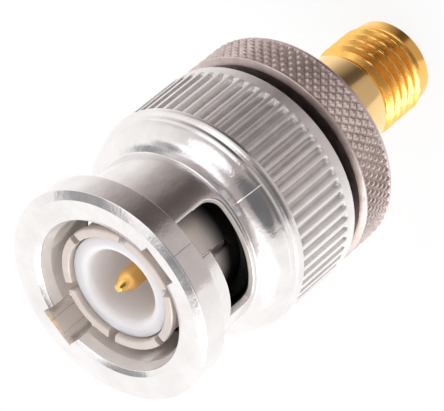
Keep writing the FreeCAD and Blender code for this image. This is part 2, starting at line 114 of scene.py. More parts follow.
def tidy_mesh(piece, sharp=34.0):
    """Weld, face outwards, and shade smooth except at edges sharper than the given angle."""
    shape = bmesh.new()
    shape.from_mesh(piece.data)
    bmesh.ops.remove_doubles(shape, verts=shape.verts, dist=1e-8)
    bmesh.ops.recalc_face_normals(shape, faces=shape.faces)
    shape.to_mesh(piece.data)
    shape.free()
    piece.data.polygons.foreach_set("use_smooth", [True] * len(piece.data.polygons))
    piece.data.set_sharp_from_angle(angle=math.radians(sharp))
    return piece


def turned(name, outline, bearings, shift=None):
    """Piece turned from a closed outline. A shift changes the radius by bearing and depth."""
    vertices = []
    for bearing in bearings:
        for point in outline:
            radius = point.x + (shift(point.x, bearing, point.y) if shift else 0)
            vertices.append(at(radius, bearing, point.y))
    rows = len(outline)
    faces = []
    for column in range(len(bearings)):
        here = column * rows
        there = (column + 1) % len(bearings) * rows
        for row in range(rows):
            following = (row + 1) % rows
            faces.append((here + row, here + following, there + following, there + row))
    return tidy_mesh(make_object(name, vertices, faces))


def apply_modifiers(piece):
    """Turn what the modifiers give into the piece's own mesh."""
    graph = bpy.context.evaluated_depsgraph_get()
    graph.update()
    result = bpy.data.meshes.new_from_object(piece.evaluated_get(graph))
    piece.modifiers.clear()
    old = piece.data
    piece.data = result
    bpy.data.meshes.remove(old)


def cut(piece, cutter):
    """Take the cutter's volume out of the piece."""
    tool = piece.modifiers.new("cut", "BOOLEAN")
    tool.operation = "DIFFERENCE"
    tool.solver = "MANIFOLD"
    tool.object = cutter
    apply_modifiers(piece)
    bpy.data.objects.remove(cutter)


def wall_faces(layers, count):
    """Faces between rings of the same count of points, each ring joined to the one before it."""
    faces = []
    for layer in range(layers - 1):
        low = layer * count
        high = low + count
        for index in range(count):
            following = (index + 1) % count
            faces.append((low + index, low + following, high + following, high + index))
    return faces


def closed_cutter(name, vertices, faces):
    """Cutter from points and faces, in triangles that face outwards."""
    cutter = make_object(name, vertices, faces)
    shape = bmesh.new()
    shape.from_mesh(cutter.data)
    bmesh.ops.recalc_face_normals(shape, faces=shape.faces)
    bmesh.ops.triangulate(shape, faces=shape.faces)
    shape.to_mesh(cutter.data)
    shape.free()
    return cutter


# Geometry trees for what repeats

def feed(tree, socket, value):
    """Give a socket its value: a link from another socket, or else a number or a colour."""
    if isinstance(value, bpy.types.NodeSocket):
        tree.links.new(value, socket)
    else:
        socket.default_value = value


def calc(tree, operation, *values, clamp=False):
    """Math node on numbers and sockets."""
    node = tree.nodes.new("ShaderNodeMath")
    node.operation = operation
    node.use_clamp = clamp
    for socket, value in zip(node.inputs, values):
        feed(tree, socket, value)
    return node.outputs[0]


def smooth_step(tree, value, low, high):
    """Soft step from 0 at low to 1 at high."""
    node = tree.nodes.new("ShaderNodeMapRange")
    node.interpolation_type = "SMOOTHSTEP"
    feed(tree, node.inputs["Value"], value)
    feed(tree, node.inputs["From Min"], low)
    feed(tree, node.inputs["From Max"], high)
    return node.outputs["Result"]


def new_tree(name, sizes):
    """Geometry tree with a named input for each size, and one for the material."""
    tree = bpy.data.node_groups.new(name, "GeometryNodeTree")
    tree.interface.new_socket("Geometry", in_out="OUTPUT", socket_type="NodeSocketGeometry")
    tree.interface.new_socket("Geometry", in_out="INPUT", socket_type="NodeSocketGeometry")
    for label, value in sizes.items():
        kind = "NodeSocketInt" if isinstance(value, int) else "NodeSocketFloat"
        tree.interface.new_socket(label, in_out="INPUT", socket_type=kind)
    tree.interface.new_socket("Material", in_out="INPUT", socket_type="NodeSocketMaterial")
    return tree, tree.nodes.new("NodeGroupInput").outputs, tree.nodes.new("NodeGroupOutput").inputs


def chain(tree, start, *kinds):
    """Row of geometry nodes, each on the one before. Gives the nodes."""
    nodes = []
    for kind in kinds:
        node = tree.nodes.new(kind)
        tree.links.new(start, node.inputs[0])
        start = node.outputs[0]
        nodes.append(node)
    return nodes


def sleeve_tree(name, sizes, rule):
    """Tree that wraps a grid round the axis into a closed sleeve. The rule gives its outer radius.

    The grid's first row and its last two lie on the inside, so that the sleeve closes there.
    """
    tree, given, made = new_tree(name, sizes)
    grid = tree.nodes.new("GeometryNodeMeshGrid")
    grid.inputs["Size X"].default_value = 1
    grid.inputs["Size Y"].default_value = 1
    tree.links.new(calc(tree, "ADD", given["Columns"], 1), grid.inputs["Vertices X"])
    tree.links.new(calc(tree, "ADD", given["Rows"], 3), grid.inputs["Vertices Y"])
    place = tree.nodes.new("ShaderNodeSeparateXYZ")
    tree.links.new(tree.nodes.new("GeometryNodeInputPosition").outputs[0], place.inputs[0])

    bearing = calc(tree, "MULTIPLY", calc(tree, "ADD", place.outputs["X"], 0.5), FULL_TURN)
    rows = given["Rows"]
    across = calc(tree, "ADD", place.outputs["Y"], 0.5)
    row = calc(tree, "ROUND", calc(tree, "MULTIPLY", across, calc(tree, "ADD", rows, 2)))
    before = calc(tree, "LESS_THAN", row, 0.5)
    after = calc(tree, "GREATER_THAN", row, calc(tree, "ADD", rows, 0.5))
    inner = calc(tree, "ADD", before, after)
    last = calc(tree, "GREATER_THAN", row, calc(tree, "ADD", rows, 1.5))
    steps = calc(tree, "SUBTRACT", rows, 1)
    share = calc(tree, "DIVIDE", calc(tree, "SUBTRACT", row, 1), steps, clamp=True)
    share = calc(tree, "MULTIPLY", share, calc(tree, "SUBTRACT", 1, last))
    wave = calc(tree, "COSINE", calc(tree, "MULTIPLY", share, math.pi))
    eased = calc(tree, "MULTIPLY", calc(tree, "SUBTRACT", 1, wave), 0.5)
    pull = calc(tree, "MULTIPLY", calc(tree, "SUBTRACT", eased, share), given["End crowding"])
    share = calc(tree, "ADD", share, pull)
    run = calc(tree, "SUBTRACT", given["Rear depth"], given["Front depth"])
    depth = calc(tree, "ADD", given["Front depth"], calc(tree, "MULTIPLY", run, share))

    outer = rule(tree, given, bearing, depth)
    difference = calc(tree, "SUBTRACT", given["Inner radius"], outer)
    radius = calc(tree, "MULTIPLY_ADD", difference, inner, outer)
    turn = calc(tree, "MULTIPLY", bearing, math.radians(-1))
    point = tree.nodes.new("ShaderNodeCombineXYZ")
    scaled = calc(tree, "MULTIPLY", radius, MM)
    tree.links.new(calc(tree, "MULTIPLY", scaled, calc(tree, "COSINE", turn)), point.inputs["X"])
    tree.links.new(calc(tree, "MULTIPLY", scaled, calc(tree, "SINE", turn)), point.inputs["Y"])
    height = calc(tree, "SUBTRACT", RIM, depth)
    tree.links.new(calc(tree, "MULTIPLY", height, MM), point.inputs["Z"])

    placed, weld, _, _, finish = chain(
        tree, grid.outputs["Mesh"], "GeometryNodeSetPosition", "GeometryNodeMergeByDistance",
        "GeometryNodeSetShadeSmooth", "GeometryNodeRealizeInstances", "GeometryNodeSetMaterial")
    tree.links.new(point.outputs[0], placed.inputs["Position"])
    weld.inputs["Distance"].default_value = 1e-7
    tree.links.new(given["Material"], finish.inputs["Material"])
    tree.links.new(finish.outputs[0], made[0])
    return tree


def grown(name, tree, sizes, material):
    """Piece that a tree makes from its sizes, as a plain mesh."""
    piece = make_object(name, [], [])
    grower = piece.modifiers.new("tree", "NODES")
    grower.node_group = tree
    values = dict(sizes, Material=material)
    for item in tree.interface.items_tree:
        if item.in_out == "INPUT" and item.name in values:
            grower[item.identifier] = values[item.name]
    apply_modifiers(piece)
    return tidy_mesh(piece)


# Finishes

def paint(name):
    """New material, with its tree and its shader."""
    material = bpy.data.materials.new(name)
    material.use_nodes = True
    return material, material.node_tree, material.node_tree.nodes["Principled BSDF"]


def pattern(tree, kind, scale, place, **settings):
    """Texture of the given kind on a place socket, its features about 1 / scale metres wide."""
    node = tree.nodes.new("ShaderNodeTex" + kind)
    node.inputs["Scale"].default_value = scale
    for key, value in settings.items():
        node.inputs[key].default_value = value
    tree.links.new(place, node.inputs["Vector"])
    return node.outputs["Distance" if kind == "Voronoi" else "Fac"]


def object_place(tree):
    return tree.nodes.new("ShaderNodeTexCoord").outputs["Object"]


def place_parts(tree):
    """The shaded point's three coordinates and its distance from the axis, in metres."""
    split = tree.nodes.new("ShaderNodeSeparateXYZ")
    tree.links.new(object_place(tree), split.inputs[0])
    x, y, z = split.outputs
    squares = calc(tree, "ADD", calc(tree, "MULTIPLY", x, x), calc(tree, "MULTIPLY", y, y))
    return x, y, z, calc(tree, "SQRT", squares)


def radius_and_depth(tree):
    """Radius and depth of the shaded point, in millimetres."""
    _, _, z, from_axis = place_parts(tree)
    depth = calc(tree, "SUBTRACT", RIM, calc(tree, "DIVIDE", z, MM))
    return calc(tree, "DIVIDE", from_axis, MM), depth


def lathe_place(tree):
    """Place that hardly changes round the axis, so that a pattern on it runs in rings."""
    drift = 0.03
    x, y, z, from_axis = place_parts(tree)
    joined = tree.nodes.new("ShaderNodeCombineXYZ")
    tree.links.new(calc(tree, "MULTIPLY", x, drift), joined.inputs["X"])
    tree.links.new(calc(tree, "MULTIPLY_ADD", y, drift, from_axis), joined.inputs["Y"])
    tree.links.new(z, joined.inputs["Z"])
    return joined.outputs[0]


def ramp(tree, source, stops):
    """Colour from (place, colour) stops, where a colour is a grey level or three numbers."""
    node = tree.nodes.new("ShaderNodeValToRGB")
    elements = node.color_ramp.elements
    while len(elements) < len(stops):
        elements.new(0.5)
    for element, (place, colour) in zip(elements, stops):
        element.position = place
        element.color = (*colour, 1) if isinstance(colour, tuple) else (colour, colour, colour, 1)
    tree.links.new(source, node.inputs["Fac"])
    return node.outputs["Color"]


def raise_grain(tree, shader, layers):
    """Bumps on the shader, one above the other, each (height socket, depth in metres, strength)."""
    below = None
    for height, depth, strength in layers:
        node = tree.nodes.new("ShaderNodeBump")
        node.inputs["Distance"].default_value = depth
        node.inputs["Strength"].default_value = strength
        tree.links.new(height, node.inputs["Height"])
        if below:
            tree.links.new(below, node.inputs["Normal"])
        below = node.outputs["Normal"]
    tree.links.new(below, shader.inputs["Normal"])


def mixed(tree, blend, amount, under, over):
    """The over colour blended on the under colour by an amount, each a value or a socket."""
    node = tree.nodes.new("ShaderNodeMix")
    node.data_type = "RGBA"
    node.blend_type = blend
    sockets = (node.inputs[0], node.inputs[6], node.inputs[7])
    for socket, value in zip(sockets, (amount, under, over)):
        feed(tree, socket, value)
    return node.outputs[2]


def past(tree, value, edge, soft):
    """1 where the value is past an edge and 0 before it, with a soft step."""
    return smooth_step(tree, value, edge - soft, edge + soft)


def short_of(tree, value, edge, soft):
    """1 where the value is short of an edge and 0 past it, with a soft step."""
    return calc(tree, "SUBTRACT", 1, past(tree, value, edge, soft))


def plated(name, bright, dull, gloss, clouds, casting=0.0, tool_marks=0.0, waviness=0.0,
           metallic=1.0, along=None, satin=None, recess_shade=None, scatter=None, valley_shade=None):
    """Plated metal, cloudy in colour and gloss, with a cast grain, turning marks or a wavy face.

    Along tints it by (depth, colour) stops.
    Valley shade, (radii, depths, level), is painted shade: it darkens it between two depths, and
    less at the larger radius.
    Satin, (depth, amount), adds roughness past a depth.
    Recess shade, (radius, depth), is painted shade: it blackens it inside a radius past a depth.
    Scatter, (radius, amount), takes some of its mirror away inside a radius, and warms it.
    """
    material, tree, shader = paint(name)
    place = object_place(tree)
    radius, depth = radius_and_depth(tree)
    tone = pattern(tree, "Noise", clouds, place, Detail=6.0, Roughness=0.62)
    colour = ramp(tree, tone, [(0.36, dull), (0.62, bright)])
    patches = pattern(tree, "Noise", clouds * 2.3, place, Detail=5.0, Roughness=0.7)
    roughness = ramp(tree, patches, [(0.35, gloss[1]), (0.65, gloss[0])])
    if along:
        share = calc(tree, "DIVIDE", depth, RIM)
        tint = ramp(tree, share, [(stop / RIM, shade) for stop, shade in along])
        colour = mixed(tree, "MULTIPLY", 1.0, colour, tint)
    if valley_shade:
        # Painted shade in the rib valleys: darker where the radius is small, between the two depths.
        radii, depths, level = valley_shade
        hollow = calc(tree, "SUBTRACT", 1, smooth_step(tree, radius, *radii))
        front, rear = (past(tree, depth, edge, 0.02) for edge in depths)
        shade_in_valleys = calc(tree, "MULTIPLY", hollow, calc(tree, "SUBTRACT", front, rear))
        colour = mixed(tree, "MULTIPLY", shade_in_valleys, colour, (level, level, level, 1))
    if satin:
        start, amount = satin
        rougher = past(tree, depth, start, 0.03)
        roughness = mixed(tree, "ADD", rougher, roughness, (amount, amount, amount, 1))
    mirror = metallic
    if recess_shade:
        # Painted shade: near black, dull and not mirrored inside the radius past the depth, where
        # the nut's recess lies in shadow.
        reach, start = recess_shade
        inward = short_of(tree, radius, reach, 0.04)
        black = calc(tree, "MULTIPLY", inward, past(tree, depth, start, 0.3))
        colour = mixed(tree, "MIX", black, colour, (0.012, 0.010, 0.009, 1))
        roughness = mixed(tree, "MIX", black, roughness, (0.8, 0.8, 0.8, 1))
        clean = calc(tree, "SUBTRACT", 1, black)
        mirror = calc(tree, "MULTIPLY", mirror, clean)
        tree.links.new(calc(tree, "MULTIPLY", clean, 0.5), shader.inputs["Specular IOR Level"])
    if scatter:
        reach, amount = scatter
        inward = short_of(tree, radius, reach, 0.02)
        within = calc(tree, "MULTIPLY", inward, past(tree, depth, 0.2, 0.04))
        colour = mixed(tree, "MULTIPLY", within, colour, (1.0, 0.96, 0.92, 1))
        kept = calc(tree, "SUBTRACT", 1, calc(tree, "MULTIPLY", within, amount))
        mirror = calc(tree, "MULTIPLY", mirror, kept)
    feed(tree, shader.inputs["Metallic"], mirror)
    tree.links.new(colour, shader.inputs["Base Color"])
    tree.links.new(roughness, shader.inputs["Roughness"])
    layers = []
    if waviness:
        layers.append((pattern(tree, "Noise", 330.0, place, Detail=2.0), 0.00012, waviness))
    if casting:
        layers.append((pattern(tree, "Noise", 1300.0, place, Detail=2.0), 0.00003, casting))
        grains = pattern(tree, "Noise", 5200.0, place, Detail=4.0, Roughness=0.6)
        layers.append((grains, 0.00002, casting))
        pits = pattern(tree, "Voronoi", 2300.0, place)
        layers.append((ramp(tree, pits, [(0.05, 0.0), (0.16, 1.0)]), 0.00001, casting))
    if tool_marks:
        rings = pattern(tree, "Noise", 16000.0, lathe_place(tree), Detail=3.0, Roughness=0.7)
        layers.append((rings, 0.00001, tool_marks))
    raise_grain(tree, shader, layers)
    return material


def soft_white(name, colour, roughness):
    """Waxy white plastic, cloudy, with painted shade that makes its face a little darker than its
    bore.
    """
    material, tree, shader = paint(name)
    shader.inputs["Roughness"].default_value = roughness
    shader.inputs["Subsurface Weight"].default_value = 1.0
    shader.inputs["Subsurface Radius"].default_value = (1.0, 0.95, 0.95)
    shader.inputs["Subsurface Scale"].default_value = 0.002
    place = object_place(tree)
    shade = tuple(level * 0.96 for level in colour)
    tone = pattern(tree, "Noise", 700.0, place, Detail=4.0)
    cloudy = ramp(tree, tone, [(0.3, shade), (0.7, colour)])
    radius, _ = radius_and_depth(tree)
    # Painted shade: past a radius of 2.4 the colour darkens, down to 0.79 past a radius of 3, so
    # that the bore is lighter than the face.
    face_shade = ramp(tree, calc(tree, "DIVIDE", radius, 4.0), [(0.6, 1.0), (0.75, 0.79)])
    tree.links.new(mixed(tree, "MULTIPLY", 1.0, cloudy, face_shade), shader.inputs["Base Color"])
    rings = pattern(tree, "Noise", 9000.0, lathe_place(tree), Detail=2.0)
    raise_grain(tree, shader, [(rings, 0.00001, 0.25)])
    return material


def black_rubber(name):
    """Dull black rubber with a fine grain."""
    material, tree, shader = paint(name)
    shader.inputs["Roughness"].default_value = 0.7
    place = object_place(tree)
    tone = pattern(tree, "Noise", 1500.0, place, Detail=4.0)
    tree.links.new(ramp(tree, tone, [(0.3, 0.012), (0.7, 0.03)]), shader.inputs["Base Color"])
    raise_grain(tree, shader, [(pattern(tree, "Noise", 6000.0, place, Detail=3.0), 0.00002, 0.4)])
    return material


nickel = plated(
    "bright_nickel", (0.96, 0.94, 0.93), (0.88, 0.855, 0.845), (0.12, 0.22), 420.0,
    casting=0.3, tool_marks=0.12, waviness=0.45,
    # The recess shade blackens the nut's inside past the recess front: painted shade.
    along=[(9.2, 0.88), (9.3, 1.0)], satin=(9.24, 0.30), recess_shade=(5.62, 4.2),
    # The valley shade darkens the rib valleys: painted shade.
    scatter=(5.95, 0.85), valley_shade=((7.34, 7.6), (9.27, 13.84), 0.84))
# Painted shade: the body is a near black brown down to depth 15.7, where it lies inside the nut and
# in the gap behind it.
BROWN_GAP_SHADE = (0.09, 0.06, 0.05)
knurl_nickel = plated(
    "body_nickel", (0.78, 0.67, 0.635), (0.64, 0.54, 0.505), (0.34, 0.48), 900.0,
    casting=0.4, tool_marks=0.2, along=[(14.0, BROWN_GAP_SHADE), (15.7, BROWN_GAP_SHADE), (15.82, 1.0)])
# Painted light and shade: the contact is lighter from depth 2.2 to 5.6, where it shows in shadow
# through the window, than at its tips, and it fades to near black past depth 5.6.
contact_nickel = plated(
    "contact_nickel", (0.86, 0.775, 0.71), (0.78, 0.70, 0.645), (0.32, 0.44), 600.0,
    tool_marks=0.35, metallic=0.3, along=[(1.0, 0.80), (2.2, 1.0), (5.6, 1.0), (6.8, 0.02)])
PALE_GOLD = (0.94, 1.0, 1.0)
gold = plated(
    "gold_plate", (1.0, 0.70, 0.34), (0.95, 0.63, 0.28), (0.07, 0.14), 500.0,
    tool_marks=0.15, waviness=0.12, satin=(24.65, 0.14), along=[
        (15.4, (1.0, 0.90, 0.6)), (15.6, PALE_GOLD), (24.0, PALE_GOLD), (24.6, (1.0, 0.86, 0.5))])
# Painted shade: along darkens the steel to near black at every depth, where the washers and the snap
# ring lie inside the nut.
steel = plated(
    "spring_steel", (0.58, 0.56, 0.53), (0.44, 0.42, 0.40), (0.25, 0.45), 700.0, tool_marks=0.3,
    along=[(9.0, 0.05), (15.0, 0.05)])
fluoropolymer = soft_white("white_insulator", (0.94, 0.925, 0.965), 0.42)
rubber = black_rubber("gasket_rubber")


def dress(piece, material, slot_name, body, *nodes):
    """Give a piece its finish, the body it moves with and the nodes it stands for. Its slot name is
    not used.
    """
    piece.data.materials.clear()
    piece.data.materials.append(material)
    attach(piece, body)
    if nodes:
        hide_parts(*nodes)


# Coupling nut

MOUTH = 4.95
STOP_BORE = 5.04
RECESS = 5.5
RECESS_FRONT = 4.4
NECK = 6.0
FLANGE = 7.25
FLANGE_REAR = 1.97
BAND = 7.55
SHOULDER_FRONT = 6.76
SHOULDER_LEAN = math.radians(72)
NECK_BLEND = 0.12
BEAD = 7.69
RIB_FRONT = 9.25
RIB_REAR = 13.85
NUT_REAR = 14.7
REAR_BORE = 6.37
BODY_FRONT = 8.1
COLLAR_FRONT = 9.0
ENTRY_BEARINGS = (95.0, 275.0)
SEAM_BEARINGS = (95.3, 275.3)


def nut_outline():
    """Outline of the cast nut, its outside cut up so that the windows and seams bend with it."""
    dome_corner = 7.15
    rib_root = 7.3
    snap_groove = 6.74
    outline = rounded([
        (MOUTH, 0.85, 0.12),
        (5.22, 0.15, 0.06),
        (5.57, 0.0, 0.06),
        (6.65, 0.0, 0.1),
        (FLANGE, 0.2, 0.07),
        (FLANGE, FLANGE_REAR, 0.1),
        (NECK, FLANGE_REAR, 0.28),
        (NECK, SHOULDER_FRONT, NECK_BLEND),
        (dome_corner, SHOULDER_FRONT + (dome_corner - NECK) / math.tan(SHOULDER_LEAN), 2.0),
        (7.5, 8.08),
        (7.42, 8.12, 0.03),
        (7.59, 8.3, 0.3),
        (7.57, 8.58, 0.06),
        (7.43, 8.65, 0.04),
        (7.71, 8.9, 0.4),
        (BEAD, RIB_FRONT, 0.1),
        (rib_root, RIB_FRONT + 0.06),
        (rib_root, RIB_REAR - 0.06),
        (BAND, RIB_REAR - 0.06, 0.06),
        (BAND, NUT_REAR, 0.15),
        (REAR_BORE, NUT_REAR, 0.1),
        (REAR_BORE, 13.6),
        (snap_groove, 13.6),
        (snap_groove, 12.88),
        (REAR_BORE, 12.88),
        (REAR_BORE, COLLAR_FRONT),
        (STOP_BORE, COLLAR_FRONT),
        (STOP_BORE, BODY_FRONT),
        (RECESS, BODY_FRONT),
        (RECESS, RECESS_FRONT),
        (MOUTH, RECESS_FRONT),
    ])
    return divided(outline, 0.3, (0.0, COLLAR_FRONT))


def outer_radius(depth):
    """Radius of the neck and the foot of the shoulder at a depth."""
    foot = SHOULDER_FRONT - NECK_BLEND * math.tan(SHOULDER_LEAN / 2)
    along = min(max(depth - foot, 0), NECK_BLEND * math.sin(SHOULDER_LEAN))
    return NECK + NECK_BLEND - math.sqrt(NECK_BLEND ** 2 - along ** 2)


def window_columns():
    """Bearing, front depth and rear depth of the cam window, from the stud slot to its far end."""
    slot = ENTRY_BEARINGS[0]
    slot_front = FLANGE_REAR + 0.3
    side = 1.25
    level = 6.45
    corner = 1.0
    ramp_start = 3.76
    ramp_end = 4.4
    end = 157.0
    end_round = 0.75

    def from_slot(across):
        return slot + math.degrees(math.asin(across / NECK))

    columns = []
    for step in range(9):
        turn = math.radians(90 * step / 8)
        across = -side + corner * (1 - math.cos(turn))
        columns.append((from_slot(across), slot_front, level - corner * (1 - math.sin(turn))))
    for across in (0.2, 0.7, side):
        columns.append((from_slot(across), slot_front, level))
    start = from_slot(side) + 0.02
    columns.append((start, ramp_start, level))
    bend_radius = 6.3
    bend = math.degrees(end_round / bend_radius)

    def front(bearing):
        return ramp_start + (ramp_end - ramp_start) * (bearing - start) / (end - start)

    for step in range(1, 17):
        bearing = start + (end - bend - start) * step / 17
        columns.append((bearing, front(bearing), level))
    for step in range(7):
        turn = math.radians(90 * step / 6)
        bearing = end - bend * (1 - math.sin(turn))
        columns.append((bearing, front(bearing), level - end_round * (1 - math.cos(turn))))
    return columns


def window_cutter(turn):
    """Cutter for one window, with a lip that rounds its edge on the outer surface.

    Its layers of points are (drop below the outer surface, spread of the window's edge).
    """
    inside = 5.2
    beyond = 8.2
    lip = 0.12
    rise = 0.06
    flare = lip * 0.76 + 0.14
    nearest_rim = FLANGE_REAR + 0.23
    columns = window_columns()
    ring = [(bearing, front) for bearing, front, rear in columns]
    ring += [(bearing, rear) for bearing, front, rear in reversed(columns)]
    flat = [Vector((math.radians(bearing) * NECK, depth)) for bearing, depth in ring]
    outward = []
    for index, here in enumerate(flat):
        following = flat[(index + 1) % len(flat)]
        run = (following - here).normalized() + (here - flat[index - 1]).normalized()
        outward.append(Vector((run.y, -run.x)).normalized())
    layers = [("inside", 0.0), (lip, 0.0)]
    for angle in (22, 45, 62, 76):
        lean = math.radians(angle)
        layers.append((lip * (1 - math.sin(lean)), lip * (1 - math.cos(lean))))
    layers += [(-rise, flare), ("beyond", flare)]
    vertices = []
    for drop, spread in layers:
        for (bearing, depth), away in zip(ring, outward):
            new_bearing = bearing + math.degrees(away.x * spread / NECK)
            new_depth = max(depth + away.y * spread, nearest_rim)
            if drop == "inside":
                radius = inside
            elif drop == "beyond":
                radius = beyond
            else:
                radius = outer_radius(new_depth) - drop
            vertices.append(at(radius, new_bearing + turn, new_depth))
    count = len(ring)
    faces = wall_faces(len(layers), count)
    for low in (0, (len(layers) - 1) * count):
        for index in range(count // 2 - 1):
            opposite = low + count - 1 - index
            faces.append((low + index, low + index + 1, opposite - 1, opposite))
    return closed_cutter("window", vertices, faces)


def entry_cutter(bearing):
    """Cutter for one stud slot across the rim, with a bevel at the rim and two lines down its floor.

    Its sections are (depth, widening, deepening).
    """
    side = 1.25
    floor = 5.88
    inside = 3.0
    line_size = 0.04
    sections = [
        (-0.6, 0.06, 0.1),
        (0.0, 0.06, 0.1),
        (0.06, 0.0, 0.09),
        (0.4, 0.0, 0.0),
        (4.7, 0.0, 0.0),
    ]
    middle = math.radians(-bearing)
    out = Vector((math.cos(middle), math.sin(middle), 0))
    across = Vector((-math.sin(middle), math.cos(middle), 0))
    vertices = []
    for depth, widening, deepening in sections:
        half = side + widening
        deep = floor + deepening
        corner_places = [(-half, inside), (-half, deep)]
        for line in (-0.575, 0.5):
            corner_places += [
                (line - line_size, deep), (line, deep + line_size), (line + line_size, deep)]
        corner_places += [(half, deep), (half, inside)]
        for place, reach in corner_places:
            point = out * reach + across * place
            vertices.append((point + Vector((0, 0, RIM - depth))) * MM)
    corners = len(corner_places)
    last = (len(sections) - 1) * corners
    faces = [tuple(range(corners)), tuple(range(last, last + corners))]
    return closed_cutter("entry", vertices, faces + wall_faces(len(sections), corners))


def nut_bearings():
    """Even columns, with closer ones at the casting seams."""
    bearings = even_bearings(288)
    for seam in SEAM_BEARINGS:
        bearings = [bearing for bearing in bearings if abs(bearing - seam) > 0.7]
        bearings += [seam + offset for offset in (-0.9, -0.36, -0.22, 0.0, 0.22, 0.36, 0.9)]
    return sorted(bearings)


def casting_seam(radius, bearing, depth):
    """Groove across the flange and raised line over the shoulder, where the die's halves met."""
    groove = -0.035
    ridge = 0.03
    if min(abs(bearing - seam) for seam in SEAM_BEARINGS) > 0.1:
        return 0.0
    if radius > 7.2 and 0.25 < depth < FLANGE_REAR - 0.1:
        return groove
    if radius > 6.3 and 6.9 < depth < 8.5:
        return ridge
    return 0.0


def make_nut():
    """Cast nut with its windows and stud slots cut in. The ribs are a sleeve of their own."""
    piece = turned("coupling_nut_cast", nut_outline(), nut_bearings(), casting_seam)
    for turn in (0.0, 180.0):
        cut(piece, window_cutter(turn))
    for bearing in ENTRY_BEARINGS:
        cut(piece, entry_cutter(bearing))
    return tidy_mesh(piece)


RIB_SIZES = {
    "Columns": 960,
    "Rows": 34,
    "End crowding": 1.0,
    "Front depth": RIB_FRONT - 0.02,
    "Rear depth": RIB_REAR + 0.02,
    "Inner radius": 7.15,
    "Rib pitch": 6.0,
    "First valley": 94.2,
    "Crest radius": 7.63,
    "Valley radius": 7.31,
    "Valley half width": 0.26,
    "Flank": 0.15,
    "Crown": 0.85,
    "Crown radius": 7.6,
    "End margin": 0.05,
}


def rib_rule(tree, given, bearing, depth):
    """Valleys between the ribs, square at the bead and round at the rear band."""
    from_valley = calc(tree, "SUBTRACT", bearing, given["First valley"])
    off = calc(tree, "PINGPONG", from_valley, calc(tree, "MULTIPLY", given["Rib pitch"], 0.5))
    crest_scale = calc(tree, "MULTIPLY", given["Crest radius"], math.radians(1))
    across = calc(tree, "MULTIPLY", off, crest_scale)
    end_size = calc(tree, "ADD", given["Valley half width"], given["End margin"])
    round_end = calc(tree, "SUBTRACT", given["Rear depth"], end_size)
    overrun = calc(tree, "MAXIMUM", calc(tree, "SUBTRACT", depth, round_end), 0)
    across_square = calc(tree, "MULTIPLY", across, across)
    overrun_square = calc(tree, "MULTIPLY", overrun, overrun)
    reach = calc(tree, "SQRT", calc(tree, "ADD", across_square, overrun_square))
    low = calc(tree, "SUBTRACT", given["Valley half width"], given["Flank"])
    rise = smooth_step(tree, reach, low, given["Valley half width"])
    height = calc(tree, "SUBTRACT", given["Crest radius"], given["Valley radius"])
    from_crest = calc(tree, "SUBTRACT", calc(tree, "MULTIPLY", given["Rib pitch"], 0.5), off)
    crown_scale = calc(tree, "MULTIPLY", given["Crown radius"], math.radians(1))
    aside = calc(tree, "MULTIPLY", from_crest, crown_scale)
    fall = calc(tree, "MULTIPLY", calc(tree, "MULTIPLY", aside, aside), given["Crown"])
    crest = calc(tree, "SUBTRACT", height, calc(tree, "MULTIPLY", fall, rise))
    return calc(tree, "MULTIPLY_ADD", crest, rise, given["Valley radius"])


nut = make_nut()
dress(nut, nickel, "bright_nickel", "nut", "coupling_nut")
rib_maker = sleeve_tree("grip ribs", RIB_SIZES, rib_rule)
ribs = grown("grip_ribs", rib_maker, RIB_SIZES, nickel)
dress(ribs, nickel, "bright_nickel", "nut", "coupling_nut")


# Body: front shank, rear ring and its knurl

NOSE = 4.97
SHANK = 4.9
COLLAR = 6.3
COLLAR_REAR = 10.0
SPIGOT = 4.5
SHANK_BORE = 3.52
FERRULE_SEAT = 4.05
FERRULE_REAR = 10.9
INSULATOR_REAR = 15.0
RING_FRONT = 15.8
SPIGOT_REAR = 16.9
JACK_FLANGE_REAR = 17.7
JACK_BORE = 2.07
RING = 7.5
RING_SEAT = 4.52
RING_HOLE = 3.17
KNURL_ROOT = 7.25
KNURL_REAR = 18.42
RING_REAR = 18.85

front_body = turned("front_shank", rounded([
    (FERRULE_SEAT, BODY_FRONT),
    (NOSE, BODY_FRONT, 0.04),
    (NOSE, COLLAR_FRONT),
    (COLLAR, COLLAR_FRONT, 0.05),
    (COLLAR, COLLAR_REAR, 0.05),
    (SHANK, COLLAR_REAR, 0.05),
    (SHANK, RING_FRONT),
    (SPIGOT, RING_FRONT),
    (SPIGOT, SPIGOT_REAR),
    (JACK_BORE, SPIGOT_REAR),
    (JACK_BORE, INSULATOR_REAR),
    (SHANK_BORE, INSULATOR_REAR),
    (SHANK_BORE, FERRULE_REAR),
    (FERRULE_SEAT, FERRULE_REAR),
]), even_bearings(96))
dress(front_body, knurl_nickel, "body_nickel", "connector", "front_body")

rear_ring = turned("rear_ring", rounded([
    (RING_SEAT, RING_FRONT),
    (7.05, RING_FRONT, 0.06),
    (RING, 15.95, 0.06),
    (RING, 16.04, 0.03),
    (KNURL_ROOT, 16.08),
    (KNURL_ROOT, 18.38),
    (7.46, KNURL_REAR, 0.03),
    (7.42, 18.6, 0.1),
    (KNURL_ROOT, RING_REAR, 0.08),
    (RING_HOLE, RING_REAR),
    (RING_HOLE, JACK_FLANGE_REAR),
    (RING_SEAT, JACK_FLANGE_REAR),
]), even_bearings(192))
dress(rear_ring, knurl_nickel, "body_nickel", "connector", "rear_body")

KNURL_SIZES = {
    "Columns": 864,
    "Rows": 49,
    "End crowding": 0.0,
    "Front depth": 16.02,
    "Rear depth": KNURL_REAR,
    "Inner radius": 7.1,
    "Diamonds round": 72.0,
    "Diamond length": 0.8,
    "Flank steepness": 3.0,
    "Crest radius": 7.49,
    "Groove depth": 0.2,
}


